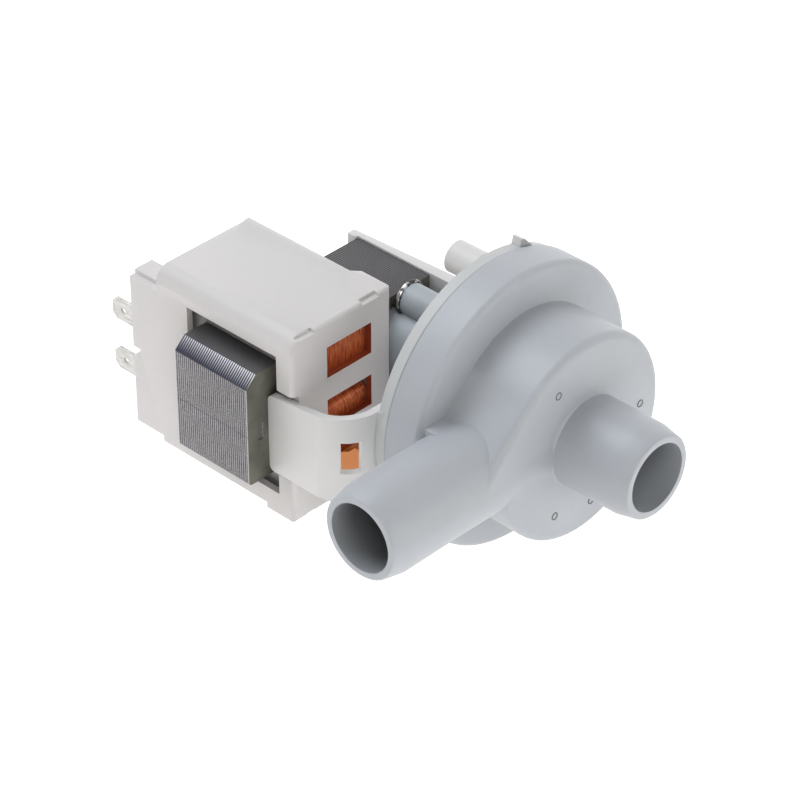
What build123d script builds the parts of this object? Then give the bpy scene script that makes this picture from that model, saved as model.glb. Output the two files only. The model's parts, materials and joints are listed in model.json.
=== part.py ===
from build123d import *
import os
from math import cos, radians, sin

os.makedirs("parts", exist_ok=True)

# Drain pump with a synchronous magnet rotor.
# Millimetres. The origin is the centre of the inlet mouth. +X leaves the inlet, -Y leaves the
# outlet and +Z is up, so the whole pump lies behind the mouth, at negative X.

# Shared working values
overrun = 3.0        # how far a cutting solid runs past what it cuts
fit_gap = 0.05       # radial gap between fixed pieces with curved seats
joint_gap = 0.5      # open joint line between housing and carrier
loose_gap = 0.3      # clearance round pieces that drop into a pocket

# Hose spigots and pump chamber
bore_radius = 9.0
spigot_wall = 3.0
mouth_radius = 11.0
mouth_taper = 5.5
mouth_chamfer = 0.4
inlet_length = 22.5
inlet_root_chamfer = 0.6
outlet_depth = 34.2
outlet_reach = 64.9
outlet_seat_length = 18.0
outlet_root_growth = 0.5
outlet_bore_length = 24.0
outlet_narrowing = 0.6
housing_wall = 2.5
drum_radius = 27.5
drum_length = 19.7
drum_edge_fillet = 2.2
volute_angle = 134.0    # where the straight wall of the volute leaves the round drum

# Round skirt behind the chamber, which holds the flange of the rotor can
skirt_radius = 37.9
skirt_length = 10.6
skirt_edge_fillet = 1.8
shelf_height = 11.4
shelf_reach = 35.0

# Rotor can
seal_width = 2.5
seal_depth = 1.2
plateau_height = 2.7
plateau_gap = 0.4
flange_thickness = 5.0
boss_radius = 18.4
boss_length = 6.1
can_radius = 11.8
can_wall = 1.1
can_end_wall = 1.4
can_overhang = 3.87
nose_radius = 7.0
nose_wall = 1.6
nose_length = 6.3
side_rib_thickness = 2.0
side_rib_drop = 1.4

# Carrier with its arms and posts
rim_radius = 37.3
rim_thickness = 3.1
spigot_ring_wall = 3.4
lug_places = (30, 150, 270)
lug_angle = 34.0
lug_turn_play = 1.0
lug_height = 1.2
lug_thickness = 1.7
mount_post_places = (90, 270, 0)
mount_post_radius = 4.2
mount_post_circle = 33.0
mount_post_length = 9.0
arm_thickness = 2.0
arm_lap = 0.15
arm_bend_radius = 10.6
arm_top = 10.3
arm_bottom = -14.1
arm_corner = 1.5
arm_slant_length = 23.0
arm_end_drop = 2.3
arm_window_top = 3.4
arm_window_bottom = -5.6
arm_window_start = -53.0
arm_window_end = -24.0
arm_root_depth = 6.5
side_arm_root = 4.5
side_arm_tip = 1.6
side_arm_gap = 0.2
side_arm_inner = 8.6
side_arm_outer = 16.0
hook_length = 3.1
hook_depth = 0.8
fin_height = 2.3
fin_angle = 75.0
fin_ramp = 9.0

# Stator core
core_standoff = 26.15
core_stack = 24.75
core_half_height = 15.7
leg_height = 10.0
yoke_depth = 10.0
yoke_reach = 54.1
pole_overlap = 9.07
pole_bore_radius = 12.35
start_step = 0.6
start_step_angle = 46.0
start_step_places = (90, 270)
yoke_chamfer = 3.0
yoke_radius = 1.0
dimple_width = 1.5
dimple_height = 4.8
dimple_depth = 0.4
dimple_low_share = 0.8
post_radius = 4.2
post_drop = 1.65
post_tip_radius = 3.0
collar_radius = 4.3
collar_length = 1.2
collar_standoff = 1.2

# Coil box
box_wall = 1.8
box_front_overhang = 8.35
box_back_overhang = 13.7
yoke_standout = 7.0
box_inner = 17.5
box_top = 26.6
box_bottom = -25.0
box_edge_radius = 4.3
box_front_fillet = 1.2
ridge_height = 2.1
ridge_thickness = 1.3
ridge_setback = 2.1
frame_depth = 9.8
frame_inner = 13.4
frame_bottom = -26.5
window_outer = 35.4
window_inner = 20.3
window_height = 8.8
window_pitch = 15.2
yoke_gap_side = 3.0
yoke_gap_height = 4.5
terminal_block_length = 9.6
terminal_block_width = 7.5
terminal_block_top = 20.2
block_step_height = 1.2
block_step_inset = 1.8
terminal_block_bottom = -23.3
block_notch_depth = 2.5
block_notch_height = 2.6
foot_notch_width = 3.2
foot_notch_inset = 5.8
edge_notch_width = 5.6
edge_notch_inset = 5.0
edge_notch_depth = 0.9

# Bobbins, windings and leads
bobbin_wall = 1.0
bobbin_flange = 1.2
bobbin_margin = 0.3
bobbin_stand_out = 1.0
bobbin_side_gap = 0.42
bobbin_outer_z = 23.0
bobbin_inner_z = 0.2
coil_setback = 0.7
coil_half_height = 10.2
wire_diameter = 1.5
wire_spacing = 2.3
wire_sides = 4
lead_sides = 5
wire_corner = 1.1
coil_corner_radius = 1.8
crossover_half = 3.0
lead_out = 3.4
lead_radius = 0.8
lead_corner = 0.7
tape_thickness = 0.3
tape_rise = 4.6
tape_margin = 2.0
protector_height = 7.0
protector_margin = 5.3
protector_corner = 1.2

# Blade terminals
tab_thickness = 0.8
tab_height = 6.3
tab_free_length = 10.1
tab_inset = 2.9
tab_hole_radius = 0.8
tab_hole_inset = 4.0
tab_corner = 1.5
upper_tab_z = 5.6
lower_tab_z = -9.3
tab_tail_length = 3.6
tab_tail_height = 3.0

# Rotor and impeller
shaft_radius = 1.6
running_gap = 0.04
bush_radius = 4.0
bush_length = 7.5
rear_bush_radius = 3.4
rear_bush_length = 5.6
bearing_plate_thickness = 2.0
bearing_seat_radius = 13.0
bearing_hub_wall = 2.2
flow_hole_radius = 1.1
flow_hole_circle = 9.6
flow_hole_places = (45, 135, 225, 315)
magnet_radius = 9.8
magnet_length = 25.0
sleeve_radius = 4.6
washer_radius = 4.2
washer_thickness = 0.8
end_play = 0.3
impeller_radius = 20.0
impeller_height = 11.0
impeller_gap = 2.3
hub_radius = 6.6
hub_wall = 1.6
hub_cap = 4.3
back_disc_radius = 11.5
back_disc_thickness = 1.5
blade_count = 6
blade_thickness = 1.8
blade_shoulder = 14.5
blade_tip_drop = 2.2
dog_collar_radius = 3.0
dog_place = 90
hub_lug_place = 270
dog_half_angle = 20.0
dog_gap = 0.3
clip_radius = 3.2
clip_thickness = 0.7
shaft_tip = 0.6

# Places along the pump axis that several pieces share
spigot_radius = bore_radius + spigot_wall
disc_x = -inlet_length
face_x = disc_x - drum_length
joint_x = face_x - skirt_length
housing_end_x = joint_x + joint_gap
chamber_front_x = disc_x - housing_wall
chamber_radius = drum_radius - housing_wall
shoulder_x = face_x - plateau_height
seat_radius = skirt_radius - housing_wall
flange_radius = seat_radius - joint_gap
flange_back_x = shoulder_x - flange_thickness
plateau_x = shoulder_x + plateau_height + plateau_gap / 2
rim_back_x = joint_x - rim_thickness
core_front_x = rim_back_x - core_standoff
core_back_x = core_front_x - core_stack
coil_x = (core_front_x + core_back_x) / 2
coil_z = core_half_height - leg_height / 2
box_front_x = core_front_x + box_front_overhang
box_back_x = core_back_x - box_back_overhang
inside_front = box_front_x - box_wall
inside_back = box_back_x + box_wall
bobbin_half_width = inside_front - bobbin_side_gap - coil_x
coil_half_width = bobbin_half_width - coil_setback
yoke_inner_y = -yoke_reach + yoke_depth
box_outer = yoke_reach - yoke_standout
arm_reach = box_outer + arm_lap
tab_plane = box_outer - tab_inset


def turned(*points):
    """Solid of revolution about the pump axis from points of X and radius."""
    return revolve(Plane.XZ * make_face(Polyline(*points, close=True)), Axis.X)


def turned_outline(outline):
    """Solid of revolution about the pump axis from a finished outline."""
    return revolve(Plane.XZ * outline, Axis.X)


def rounded(outline, place, radius):
    """The outline with its corner nearest to the place rounded."""
    return fillet(outline.vertices().sort_by_distance(place)[0], radius)


def rod(radius, x_from, x_to, y=0, z=0):
    """Round bar along X."""
    return Pos(x_from, y, z) * extrude(Plane.YZ * Circle(radius), x_to - x_from)


def block(x_from, x_to, y_from, y_to, z_from, z_to):
    """Box between two places along each axis."""
    centre = Pos((x_from + x_to) / 2, (y_from + y_to) / 2, (z_from + z_to) / 2)
    return centre * Box(abs(x_to - x_from), abs(y_to - y_from), abs(z_to - z_from))


def across(points, x_from, x_to):
    """Prism along X from points of Y and Z."""
    return extrude(Plane.YZ.offset(x_from) * make_face(Polyline(*points, close=True)), x_to - x_from)


def sector(inner, outer, middle_angle, half_angle, x_from, x_to):
    """Part of a ring about the pump axis; the angle runs from +Y towards +Z."""
    outline = Rectangle(x_to - x_from, outer - inner)
    ring = Plane.XZ * (Pos((x_from + x_to) / 2, (inner + outer) / 2) * outline)
    part = revolve(ring, Axis.X, 2 * half_angle)
    angles = part.center()
    start = Vector(0, 1, 0).get_signed_angle(Vector(0, angles.Y, angles.Z), Vector(1, 0, 0))
    return Rot(middle_angle - start, 0, 0) * part


# Volute housing
# One moulding: inlet spigot, chamber drum, round skirt and the outlet spigot that leaves the
# chamber at a right angle, level with the front of the drum. A straight wall of the volute runs
# from the drum down to the outlet spigot, and a flat shelf fills the corner behind it.
housing_outline = make_face(Polyline(
    (0, 0),
    (0, mouth_radius - mouth_chamfer),
    (-mouth_chamfer, mouth_radius),
    (-mouth_taper, spigot_radius),
    (disc_x, spigot_radius),
    (disc_x, drum_radius),
    (face_x, drum_radius),
    (face_x, skirt_radius),
    (housing_end_x, skirt_radius),
    (housing_end_x, 0),
    close=True))
housing_outline = chamfer(
    housing_outline.vertices().sort_by_distance((disc_x, spigot_radius))[0], inlet_root_chamfer)
housing_outline = rounded(housing_outline, (disc_x, drum_radius), drum_edge_fillet)
housing_outline = rounded(housing_outline, (face_x, skirt_radius), skirt_edge_fillet)
housing_body = turned_outline(housing_outline)


def volute_side(radius, x_from, x_to):
    """Wedge between the pump axis and the line that leaves a circle at the volute angle."""
    leave_y = radius * cos(radians(volute_angle))
    leave_z = radius * sin(radians(volute_angle))
    meet_y = radius / cos(radians(volute_angle))
    wedge = across([(0, 0), (leave_y, leave_z), (meet_y, 0)], x_from, x_to)
    return wedge, (x_to, (leave_y + meet_y) / 2, leave_z / 2)


volute_wall, wall_edge_middle = volute_side(drum_radius, face_x, disc_x)
volute_wall = fillet(
    volute_wall.edges().sort_by_distance(wall_edge_middle)[0], drum_edge_fillet)
volute_passage, passage_middle = volute_side(chamber_radius, face_x, chamber_front_x)
volute_passage &= block(
    face_x, chamber_front_x, -drum_radius, 0, bore_radius - housing_wall, chamber_radius)

outlet_pipe = turned(
    (0, 0),
    (0, mouth_radius - mouth_chamfer),
    (-mouth_chamfer, mouth_radius),
    (-mouth_taper, spigot_radius),
    (-mouth_taper - outlet_seat_length, spigot_radius),
    (-outlet_reach, spigot_radius + outlet_root_growth),
    (-outlet_reach, 0))
outlet_place = Pos(-outlet_depth, -outlet_reach, 0) * Rot(0, 0, -90)
shelf = block(
    face_x - skirt_edge_fillet, -outlet_depth, -shelf_reach, -chamber_radius, 0, shelf_height)

chamber = turned(
    (overrun, 0),
    (overrun, bore_radius),
    (chamber_front_x, bore_radius),
    (chamber_front_x, chamber_radius),
    (shoulder_x, chamber_radius),
    (shoulder_x, seat_radius),
    (housing_end_x - overrun, seat_radius),
    (housing_end_x - overrun, 0))
outlet_bore = outlet_place * turned(
    (overrun, 0),
    (overrun, bore_radius),
    (-outlet_bore_length, bore_radius),
    (-outlet_reach, bore_radius - outlet_narrowing),
    (-outlet_reach, 0))

volute_housing = housing_body + volute_wall + outlet_place * outlet_pipe + shelf
volute_housing = volute_housing - chamber - volute_passage - outlet_bore
lug_radius = flange_radius + lug_height
lug_back_x = joint_x + joint_gap + lug_thickness
for lug_place in lug_places:
    volute_housing -= sector(
        flange_radius - overrun, lug_radius + fit_gap, lug_place, lug_angle / 2 + lug_turn_play,
        housing_end_x - overrun, lug_back_x + joint_gap)
volute_housing = volute_housing.solid()

# Housing seal
# Square rubber ring in the step at the front of the can's flange.
housing_seal = turned(
    (shoulder_x, seat_radius - seal_depth - joint_gap),
    (shoulder_x, seat_radius - fit_gap),
    (shoulder_x - seal_width, seat_radius - fit_gap),
    (shoulder_x - seal_width, seat_radius - seal_depth - joint_gap))
housing_seal -= rod(seat_radius - seal_depth - joint_gap, shoulder_x, shoulder_x - seal_width)

# Rotor can
# Thin tube that separates the wet rotor from the coils, with the flange that closes the chamber
# and two posts that the core stands against.
can_end_x = core_back_x - can_overhang
can_bore = can_radius - can_wall
nose_end_x = can_end_x - nose_length
bearing_seat_x = plateau_x - plateau_height - bearing_plate_thickness
seal_land = seat_radius - seal_depth - joint_gap - fit_gap
rotor_can = turned(
    (bearing_seat_x, bearing_seat_radius),
    (plateau_x, bearing_seat_radius),
    (plateau_x, chamber_radius - plateau_gap),
    (shoulder_x, chamber_radius - plateau_gap),
    (shoulder_x, seal_land),
    (shoulder_x - seal_width, seal_land),
    (shoulder_x - seal_width, flange_radius),
    (flange_back_x, flange_radius),
    (flange_back_x, can_radius),
    (can_end_x, can_radius),
    (can_end_x, nose_radius),
    (nose_end_x, nose_radius),
    (nose_end_x, 0),
    (nose_end_x + can_end_wall, 0),
    (nose_end_x + can_end_wall, nose_radius - nose_wall),
    (can_end_x + can_end_wall, nose_radius - nose_wall),
    (can_end_x + can_end_wall, can_bore),
    (bearing_seat_x, can_bore))
boss_end_x = flange_back_x - boss_length
side_arm_y = pole_overlap + side_arm_gap
boss = rod(boss_radius, flange_back_x + housing_wall, boss_end_x)
boss -= rod(can_bore, plateau_x, boss_end_x - overrun)
for side in (1, -1):
    boss -= block(
        flange_back_x, boss_end_x - overrun, side_arm_y - loose_gap, boss_radius + overrun,
        side * (side_arm_inner - loose_gap), side * (boss_radius + overrun))
rotor_can += boss
pocket = rod(flange_radius - spigot_ring_wall - loose_gap, flange_back_x - overrun, shoulder_x - housing_wall)
pocket -= rod(boss_radius, flange_back_x - overrun, shoulder_x - housing_wall)
rotor_can -= pocket

post_z = core_half_height - post_drop
collar_back_x = core_front_x + collar_standoff
post_front_x = collar_back_x + collar_length
for side in (1, -1):
    rotor_can += rod(post_radius, boss_end_x, post_front_x, 0, side * post_z)
    rotor_can += rod(post_tip_radius, post_front_x, core_front_x + loose_gap, 0, side * post_z)
    rotor_can += block(
        boss_end_x, post_front_x, -side_rib_thickness / 2, side_rib_thickness / 2,
        side * (can_radius - can_wall / 2), side * post_z)
rib_tip_x = box_front_x + overrun
rotor_can += extrude(
    Pos(0, 0, -side_rib_drop - side_rib_thickness) * make_face(Polyline(
        (boss_end_x, -can_radius + can_wall / 2),
        (boss_end_x, -boss_radius + can_wall),
        (rib_tip_x, -can_radius),
        (rib_tip_x, -can_radius + can_wall / 2),
        close=True)),
    side_rib_thickness)
rotor_can = rotor_can.solid()

# Post collars
# Bright steel rings pressed on the tips of the two posts, just in front of the core. Each is
# open where it meets the can.
post_collars = Compound(children=[
    (
        rod(collar_radius, post_front_x, collar_back_x, 0, side * post_z)
        - rod(post_tip_radius + fit_gap, post_front_x, collar_back_x, 0, side * post_z)
        - rod(can_radius + fit_gap, post_front_x, collar_back_x)
    ).solid()
    for side in (1, -1)])

# Motor carrier
# Pale ring behind the joint line. It locks into the housing with three lugs, carries the posts
# that point to the rear, the bent guard arm on the outlet side and the two long side arms.
carrier = rod(rim_radius, joint_x, rim_back_x)
spigot_ring = rod(flange_radius, flange_back_x, joint_x)
spigot_ring -= rod(flange_radius - spigot_ring_wall, flange_back_x, joint_x)
carrier += spigot_ring
for lug_place in lug_places:
    carrier += sector(
        flange_radius - spigot_ring_wall / 2, lug_radius - fit_gap, lug_place, lug_angle / 2,
        joint_x + joint_gap, lug_back_x)
carrier_hole = rod(boss_radius + loose_gap, joint_x + overrun, rim_back_x - overrun)
for side in (1, -1):
    carrier_hole -= block(
        joint_x + overrun, rim_back_x - overrun, side_arm_y, boss_radius + overrun,
        side * side_arm_inner, side * (boss_radius + overrun))
carrier -= carrier_hole

for angle in mount_post_places:
    post_y = mount_post_circle * cos(radians(angle))
    post_place_z = mount_post_circle * sin(radians(angle))
    carrier += rod(mount_post_radius, joint_x - rim_thickness / 2, rim_back_x - mount_post_length,
                   post_y, post_place_z)

fin_outline = make_face(Polyline(
    (rim_radius - rim_thickness, 0),
    (rim_radius + fin_height, 0),
    (rim_radius + fin_height, arm_thickness / 2),
    (rim_radius, fin_ramp / 2),
    (rim_radius - rim_thickness, fin_ramp / 2),
    close=True))
fin = extrude(Plane.YZ.offset(joint_x) * fin_outline, -rim_thickness)
carrier += Rot(fin_angle, 0, 0) * mirror(fin, Plane.XY)

# Guard arm: runs back along the outlet side and ends against the front of the core.
bend_x = rim_back_x - arm_bend_radius
bend_y = -arm_reach + arm_bend_radius
arm_height = arm_top - arm_bottom
bend = Circle(arm_bend_radius) - Circle(arm_bend_radius - arm_thickness)
bend &= Pos(arm_bend_radius / 2, -arm_bend_radius / 2) * Rectangle(arm_bend_radius, arm_bend_radius)
guard_arm = extrude(Pos(bend_x, bend_y, arm_bottom) * bend, arm_height)
guard_arm += block(
    rim_back_x - arm_thickness, rim_back_x + rim_thickness / 2,
    bend_y, -rim_radius + arm_root_depth, arm_bottom, arm_top)
guard_arm += block(
    core_front_x, bend_x, -arm_reach, -arm_reach + arm_thickness, arm_bottom, arm_top)
arm_side = make_face(Polyline(
    (core_front_x, arm_bottom),
    (joint_x, arm_bottom),
    (joint_x, arm_top),
    (core_front_x + arm_slant_length, arm_top),
    (core_front_x, arm_top - arm_end_drop),
    close=True))
arm_side = rounded(arm_side, (core_front_x, arm_top - arm_end_drop), arm_corner)
arm_side = rounded(arm_side, (core_front_x, arm_bottom), arm_corner)
guard_arm &= extrude(Plane.XZ * arm_side, arm_reach)
window_far = 2 * arm_bend_radius
window_cut = extrude(
    Pos(bend_x, bend_y, arm_window_bottom) * make_face(Polyline(
        (0, 0),
        (window_far * cos(radians(arm_window_start)), window_far * sin(radians(arm_window_start))),
        (window_far * cos(radians(arm_window_end)), window_far * sin(radians(arm_window_end))),
        close=True)),
    arm_window_top - arm_window_bottom)
guard_arm -= window_cut
carrier += guard_arm

# Side arms: two bars that taper past the pole tips, hooked behind the back of the core.
side_arm_end_x = core_back_x - hook_length
side_arm_start_x = joint_x - rim_thickness / 2
side_arm_outline = make_face(Polyline(
    (side_arm_start_x, side_arm_y),
    (side_arm_end_x, side_arm_y),
    (side_arm_end_x, side_arm_y + side_arm_tip),
    (side_arm_start_x, side_arm_y + side_arm_root),
    close=True))
for side in (1, -1):
    carrier += extrude(
        Pos(0, 0, side * side_arm_outer) * side_arm_outline,
        -side * (side_arm_outer - side_arm_inner))
    carrier += block(
        core_back_x - loose_gap, side_arm_end_x, side_arm_y - hook_depth, side_arm_y + side_arm_tip,
        side * (can_radius + loose_gap), side * side_arm_outer)
motor_carrier = carrier.solid()

# Stator core
# U-shaped stack of laminations. The yoke stands out of the coil box, and the two legs end in
# poles that are bored for the can, with a shallow step in each pole face that sets the rotor's
# resting angle.
leg_inner_z = core_half_height - leg_height
core_outline = make_face(Polyline(
    (-yoke_reach, -core_half_height),
    (pole_overlap, -core_half_height),
    (pole_overlap, -leg_inner_z),
    (yoke_inner_y, -leg_inner_z),
    (yoke_inner_y, leg_inner_z),
    (pole_overlap, leg_inner_z),
    (pole_overlap, core_half_height),
    (-yoke_reach, core_half_height),
    close=True))
core_outline = chamfer(
    core_outline.vertices().sort_by_distance((-yoke_reach, core_half_height))[0], yoke_chamfer)
core_outline = rounded(core_outline, (-yoke_reach, -core_half_height), yoke_radius)
core_outline -= Circle(pole_bore_radius)
step_far = pole_bore_radius + start_step
for turn in start_step_places:
    slice_outline = Polyline(
        (0, 0),
        (2 * step_far, 0),
        (2 * step_far, 2 * step_far * sin(radians(start_step_angle))),
        close=True)
    core_outline -= Circle(step_far) & Rot(0, 0, turn) * make_face(slice_outline)
stator_core = extrude(Plane.YZ.offset(core_back_x) * core_outline, core_stack)
stator_core -= block(
    core_front_x - dimple_depth, core_front_x + overrun,
    -yoke_reach + yoke_depth / 2 - dimple_width, -yoke_reach + yoke_depth / 2,
    -dimple_height * dimple_low_share, dimple_height * (1 - dimple_low_share))
stator_core = stator_core.solid()

# Coil box
# White moulding over both coils, open on the side of the poles. Its front frame is larger than
# the rest, a ridge stands along its inner top edge, and the block for the two tabs is at the rear.
box_outline = Rectangle(box_outer - box_inner, box_top - box_bottom, align=Align.MIN)
box_outline = rounded(box_outline, (0, box_top - box_bottom), box_edge_radius)
frame_outline = Rectangle(box_outer - frame_inner, box_top - frame_bottom, align=Align.MIN)
frame_outline = rounded(frame_outline, (0, box_top - frame_bottom), box_edge_radius)
frame_back_x = box_front_x - frame_depth
coil_cover = extrude(
    Plane.YZ.offset(box_back_x) * Pos(-box_outer, box_bottom) * box_outline,
    frame_back_x - box_back_x)
coil_cover += extrude(
    Plane.YZ.offset(frame_back_x) * Pos(-box_outer, frame_bottom) * frame_outline, frame_depth)
front_edges = coil_cover.edges().filter_by_position(
    Axis.X, box_front_x - fit_gap, box_front_x + fit_gap)
coil_cover = fillet(front_edges, box_front_fillet)
coil_cover += block(
    box_back_x + ridge_setback, frame_back_x, -box_inner - ridge_thickness, -box_inner,
    box_top - box_wall, box_top + ridge_height)
block_back_x = box_back_x - terminal_block_length
for inset, step_height in ((0, 0), (block_step_inset, block_step_height)):
    coil_cover += block(
        block_back_x, inside_back, -box_outer + inset, -box_outer + terminal_block_width,
        terminal_block_bottom, terminal_block_top + step_height)
inside_top = box_top - box_wall
inside_bottom = box_bottom + box_wall
coil_cover -= block(
    inside_front, inside_back, -box_outer + box_wall, -frame_inner + overrun,
    inside_bottom, inside_top)
for row in (1, 0, -1):
    coil_cover -= block(
        box_front_x + overrun, inside_front - overrun, -window_outer, -window_inner,
        row * window_pitch - window_height / 2, row * window_pitch + window_height / 2)
coil_cover -= block(
    core_front_x + yoke_gap_side, core_back_x - yoke_gap_side,
    -box_outer - overrun, -box_outer + box_wall + overrun,
    -core_half_height - yoke_gap_height, core_half_height + yoke_gap_height)
coil_cover -= block(
    box_front_x + overrun, core_front_x + yoke_gap_side - overrun,
    -box_outer - overrun, -arm_reach + arm_thickness + loose_gap,
    arm_bottom - loose_gap, arm_top + loose_gap)
for tab_z in (upper_tab_z, lower_tab_z):
    coil_cover -= block(
        block_back_x - overrun, inside_back + overrun,
        -tab_plane - tab_thickness / 2 - fit_gap, -tab_plane + tab_thickness / 2 + fit_gap,
        tab_z - tab_height / 2 - fit_gap, tab_z + tab_height / 2 + fit_gap)
notch_middle = (upper_tab_z + lower_tab_z) / 2
coil_cover -= block(
    block_back_x - overrun, block_back_x + block_notch_depth,
    -box_outer - overrun, -box_outer + terminal_block_width + overrun,
    notch_middle - block_notch_height / 2, notch_middle + block_notch_height / 2)
for notch_y in (-box_outer + edge_notch_inset, -window_inner):
    coil_cover -= block(
        box_front_x + overrun, inside_front, notch_y - edge_notch_width / 2,
        notch_y + edge_notch_width / 2, box_top - edge_notch_depth, box_top + overrun)
foot_notch_y = -box_outer + foot_notch_inset
coil_cover -= block(
    frame_back_x - overrun, box_front_x + overrun, foot_notch_y - foot_notch_width / 2,
    foot_notch_y + foot_notch_width / 2, frame_bottom - overrun, frame_bottom + edge_notch_depth)
coil_cover = coil_cover.solid()

# Bobbins
# A former on each leg: a square tube between two flanges.
bobbin_back_y = yoke_inner_y + bobbin_margin
bobbin_front_y = -box_inner + bobbin_stand_out
winding_start_y = bobbin_back_y + bobbin_flange
winding_end_y = bobbin_front_y - bobbin_flange


def bobbin(side):
    """Coil former round the leg on the given side of the axis."""
    former = block(
        core_back_x - fit_gap - bobbin_wall, core_front_x + fit_gap + bobbin_wall,
        bobbin_back_y, bobbin_front_y,
        side * (coil_z - leg_height / 2 - fit_gap - bobbin_wall),
        side * (coil_z + leg_height / 2 + fit_gap + bobbin_wall))
    for flange_y in (bobbin_back_y, winding_end_y):
        former += block(
            coil_x - bobbin_half_width, coil_x + bobbin_half_width,
            flange_y, flange_y + bobbin_flange, side * bobbin_inner_z, side * bobbin_outer_z)
    former -= block(
        core_back_x - fit_gap, core_front_x + fit_gap, bobbin_back_y - overrun,
        bobbin_front_y + overrun, side * (coil_z - leg_height / 2 - fit_gap),
        side * (coil_z + leg_height / 2 + fit_gap))
    return former.solid()


# Windings
# The bulk of each coil is plain; its outer layer is one wire from end to end. Each loop is flat,
# and the wire steps to the next loop on the rear side of the coil.
layer_x = coil_half_width - wire_diameter / 2
layer_z = coil_half_height - wire_diameter / 2
bulk_x = coil_half_width - wire_diameter - fit_gap
bulk_z = coil_half_height - wire_diameter - fit_gap


def winding_bulk(side):
    """Inner layers of the coil on the given side."""
    outline = RectangleRounded(2 * bulk_x, 2 * bulk_z, coil_corner_radius)
    outline -= Rectangle(
        core_stack + 2 * (fit_gap + bobbin_wall), leg_height + 2 * (fit_gap + bobbin_wall))
    length = winding_end_y - winding_start_y
    place = Plane(origin=(coil_x, winding_start_y, side * coil_z), x_dir=(1, 0, 0), z_dir=(0, 1, 0))
    return extrude(place * outline, length).solid()


wire_loops = int((winding_end_y - winding_start_y) / wire_spacing)
wire_pitch = (winding_end_y - winding_start_y - wire_diameter - 2 * fit_gap) / (wire_loops - 1)
rear_x = coil_x - layer_x
lead_end_x = rear_x - lead_out - wire_diameter


def eased(points, cut):
    """The same route with each of its corners cut off at the given distance."""
    route = [Vector(*point) for point in points]
    result = [route[0]]
    for before, corner, after in zip(route, route[1:], route[2:]):
        result.append(corner + (before - corner).normalized() * cut)
        result.append(corner + (after - corner).normalized() * cut)
    return [*result, route[-1]]


def wire_route():
    """Corner points of the upper coil's outer layer."""
    first_y = winding_start_y + fit_gap + wire_diameter / 2
    points = [
        (lead_end_x, first_y, coil_z + 2 * crossover_half),
        (rear_x, first_y, coil_z + 2 * crossover_half),
    ]
    for loop in range(wire_loops):
        loop_y = first_y + loop * wire_pitch
        points += [
            (rear_x, loop_y, coil_z + layer_z),
            (coil_x + layer_x, loop_y, coil_z + layer_z),
            (coil_x + layer_x, loop_y, coil_z - layer_z),
            (rear_x, loop_y, coil_z - layer_z),
            (rear_x, loop_y, coil_z - crossover_half),
        ]
        if loop < wire_loops - 1:
            points.append((rear_x, loop_y + wire_pitch, coil_z + crossover_half))
    points.append((lead_end_x, loop_y, coil_z - crossover_half))
    return points


def swept(points, cut, radius, sides):
    """Wire along the points, with its corners cut off and a section of flat sides."""
    path = Wire(Polyline(*eased(points, cut)))
    section = Plane(origin=path @ 0, z_dir=path % 0) * RegularPolygon(radius, sides)
    return path, section, sweep(section, path=path, transition=Transition.RIGHT).solid()


wire_path, wire_section, upper_winding_turns = swept(
    wire_route(), wire_corner, wire_diameter / 2, wire_sides)
lower_winding_turns = mirror(upper_winding_turns, Plane.XY)

# The least gap of the wire to itself, measured between points that are far apart along it.
step = wire_diameter / 2
count = int(wire_path.length / step)
samples = [wire_path @ (number / count) for number in range(count + 1)]
skip = int(4 * wire_diameter / step)
least = min(
    (samples[first] - samples[second]).length
    for first in range(0, count, 2)
    for second in range(first + skip, count + 1))
print("least gap of the wire to itself", round(least - wire_diameter, 3))
print("wire volume", round(upper_winding_turns.volume, 2),
      "section times length", round(wire_section.area * wire_path.length, 2))

upper_bobbin = bobbin(1)
lower_bobbin = bobbin(-1)
upper_winding = winding_bulk(1)
lower_winding = winding_bulk(-1)

# Insulating tape
# Folded round the outer half of the lower coil, with a flap that hangs down in front of it.
tape_x = coil_half_width + fit_gap
tape_z = coil_half_height + fit_gap
tape_outline = RectangleRounded(
    2 * (tape_x + tape_thickness), 2 * (tape_z + tape_thickness),
    coil_corner_radius + tape_thickness)
tape_outline -= RectangleRounded(2 * tape_x, 2 * tape_z, coil_corner_radius)
tape_outline &= Pos(0, -tape_z + tape_rise / 2) * Rectangle(4 * tape_x, tape_rise + 2 * tape_thickness)
tape_place = Plane(
    origin=(coil_x, winding_end_y - tape_margin, -coil_z), x_dir=(1, 0, 0), z_dir=(0, -1, 0))
insulating_tape = extrude(
    tape_place * tape_outline, winding_end_y - winding_start_y - 2 * tape_margin)
insulating_tape += block(
    coil_x + tape_x, coil_x + tape_x + tape_thickness,
    winding_start_y + tape_margin, winding_end_y - tape_margin,
    inside_bottom + fit_gap, -coil_z - tape_z + tape_rise)
insulating_tape = insulating_tape.solid()

# Thermal protector
# Small sealed cut-out that lies against the rear of the lower coil.
protector_front = rear_x - wire_diameter / 2 - tape_thickness - 2 * fit_gap
protector_middle_y = (winding_start_y + winding_end_y) / 2
protector_width = winding_end_y - winding_start_y - 2 * protector_margin
protector_outline = RectangleRounded(protector_width, protector_height, protector_corner)
protector_place = Plane(
    origin=(inside_back + loose_gap, protector_middle_y, -coil_z), x_dir=(0, 1, 0), z_dir=(1, 0, 0))
thermal_protector = extrude(
    protector_place * protector_outline, protector_front - inside_back - loose_gap).solid()


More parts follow.
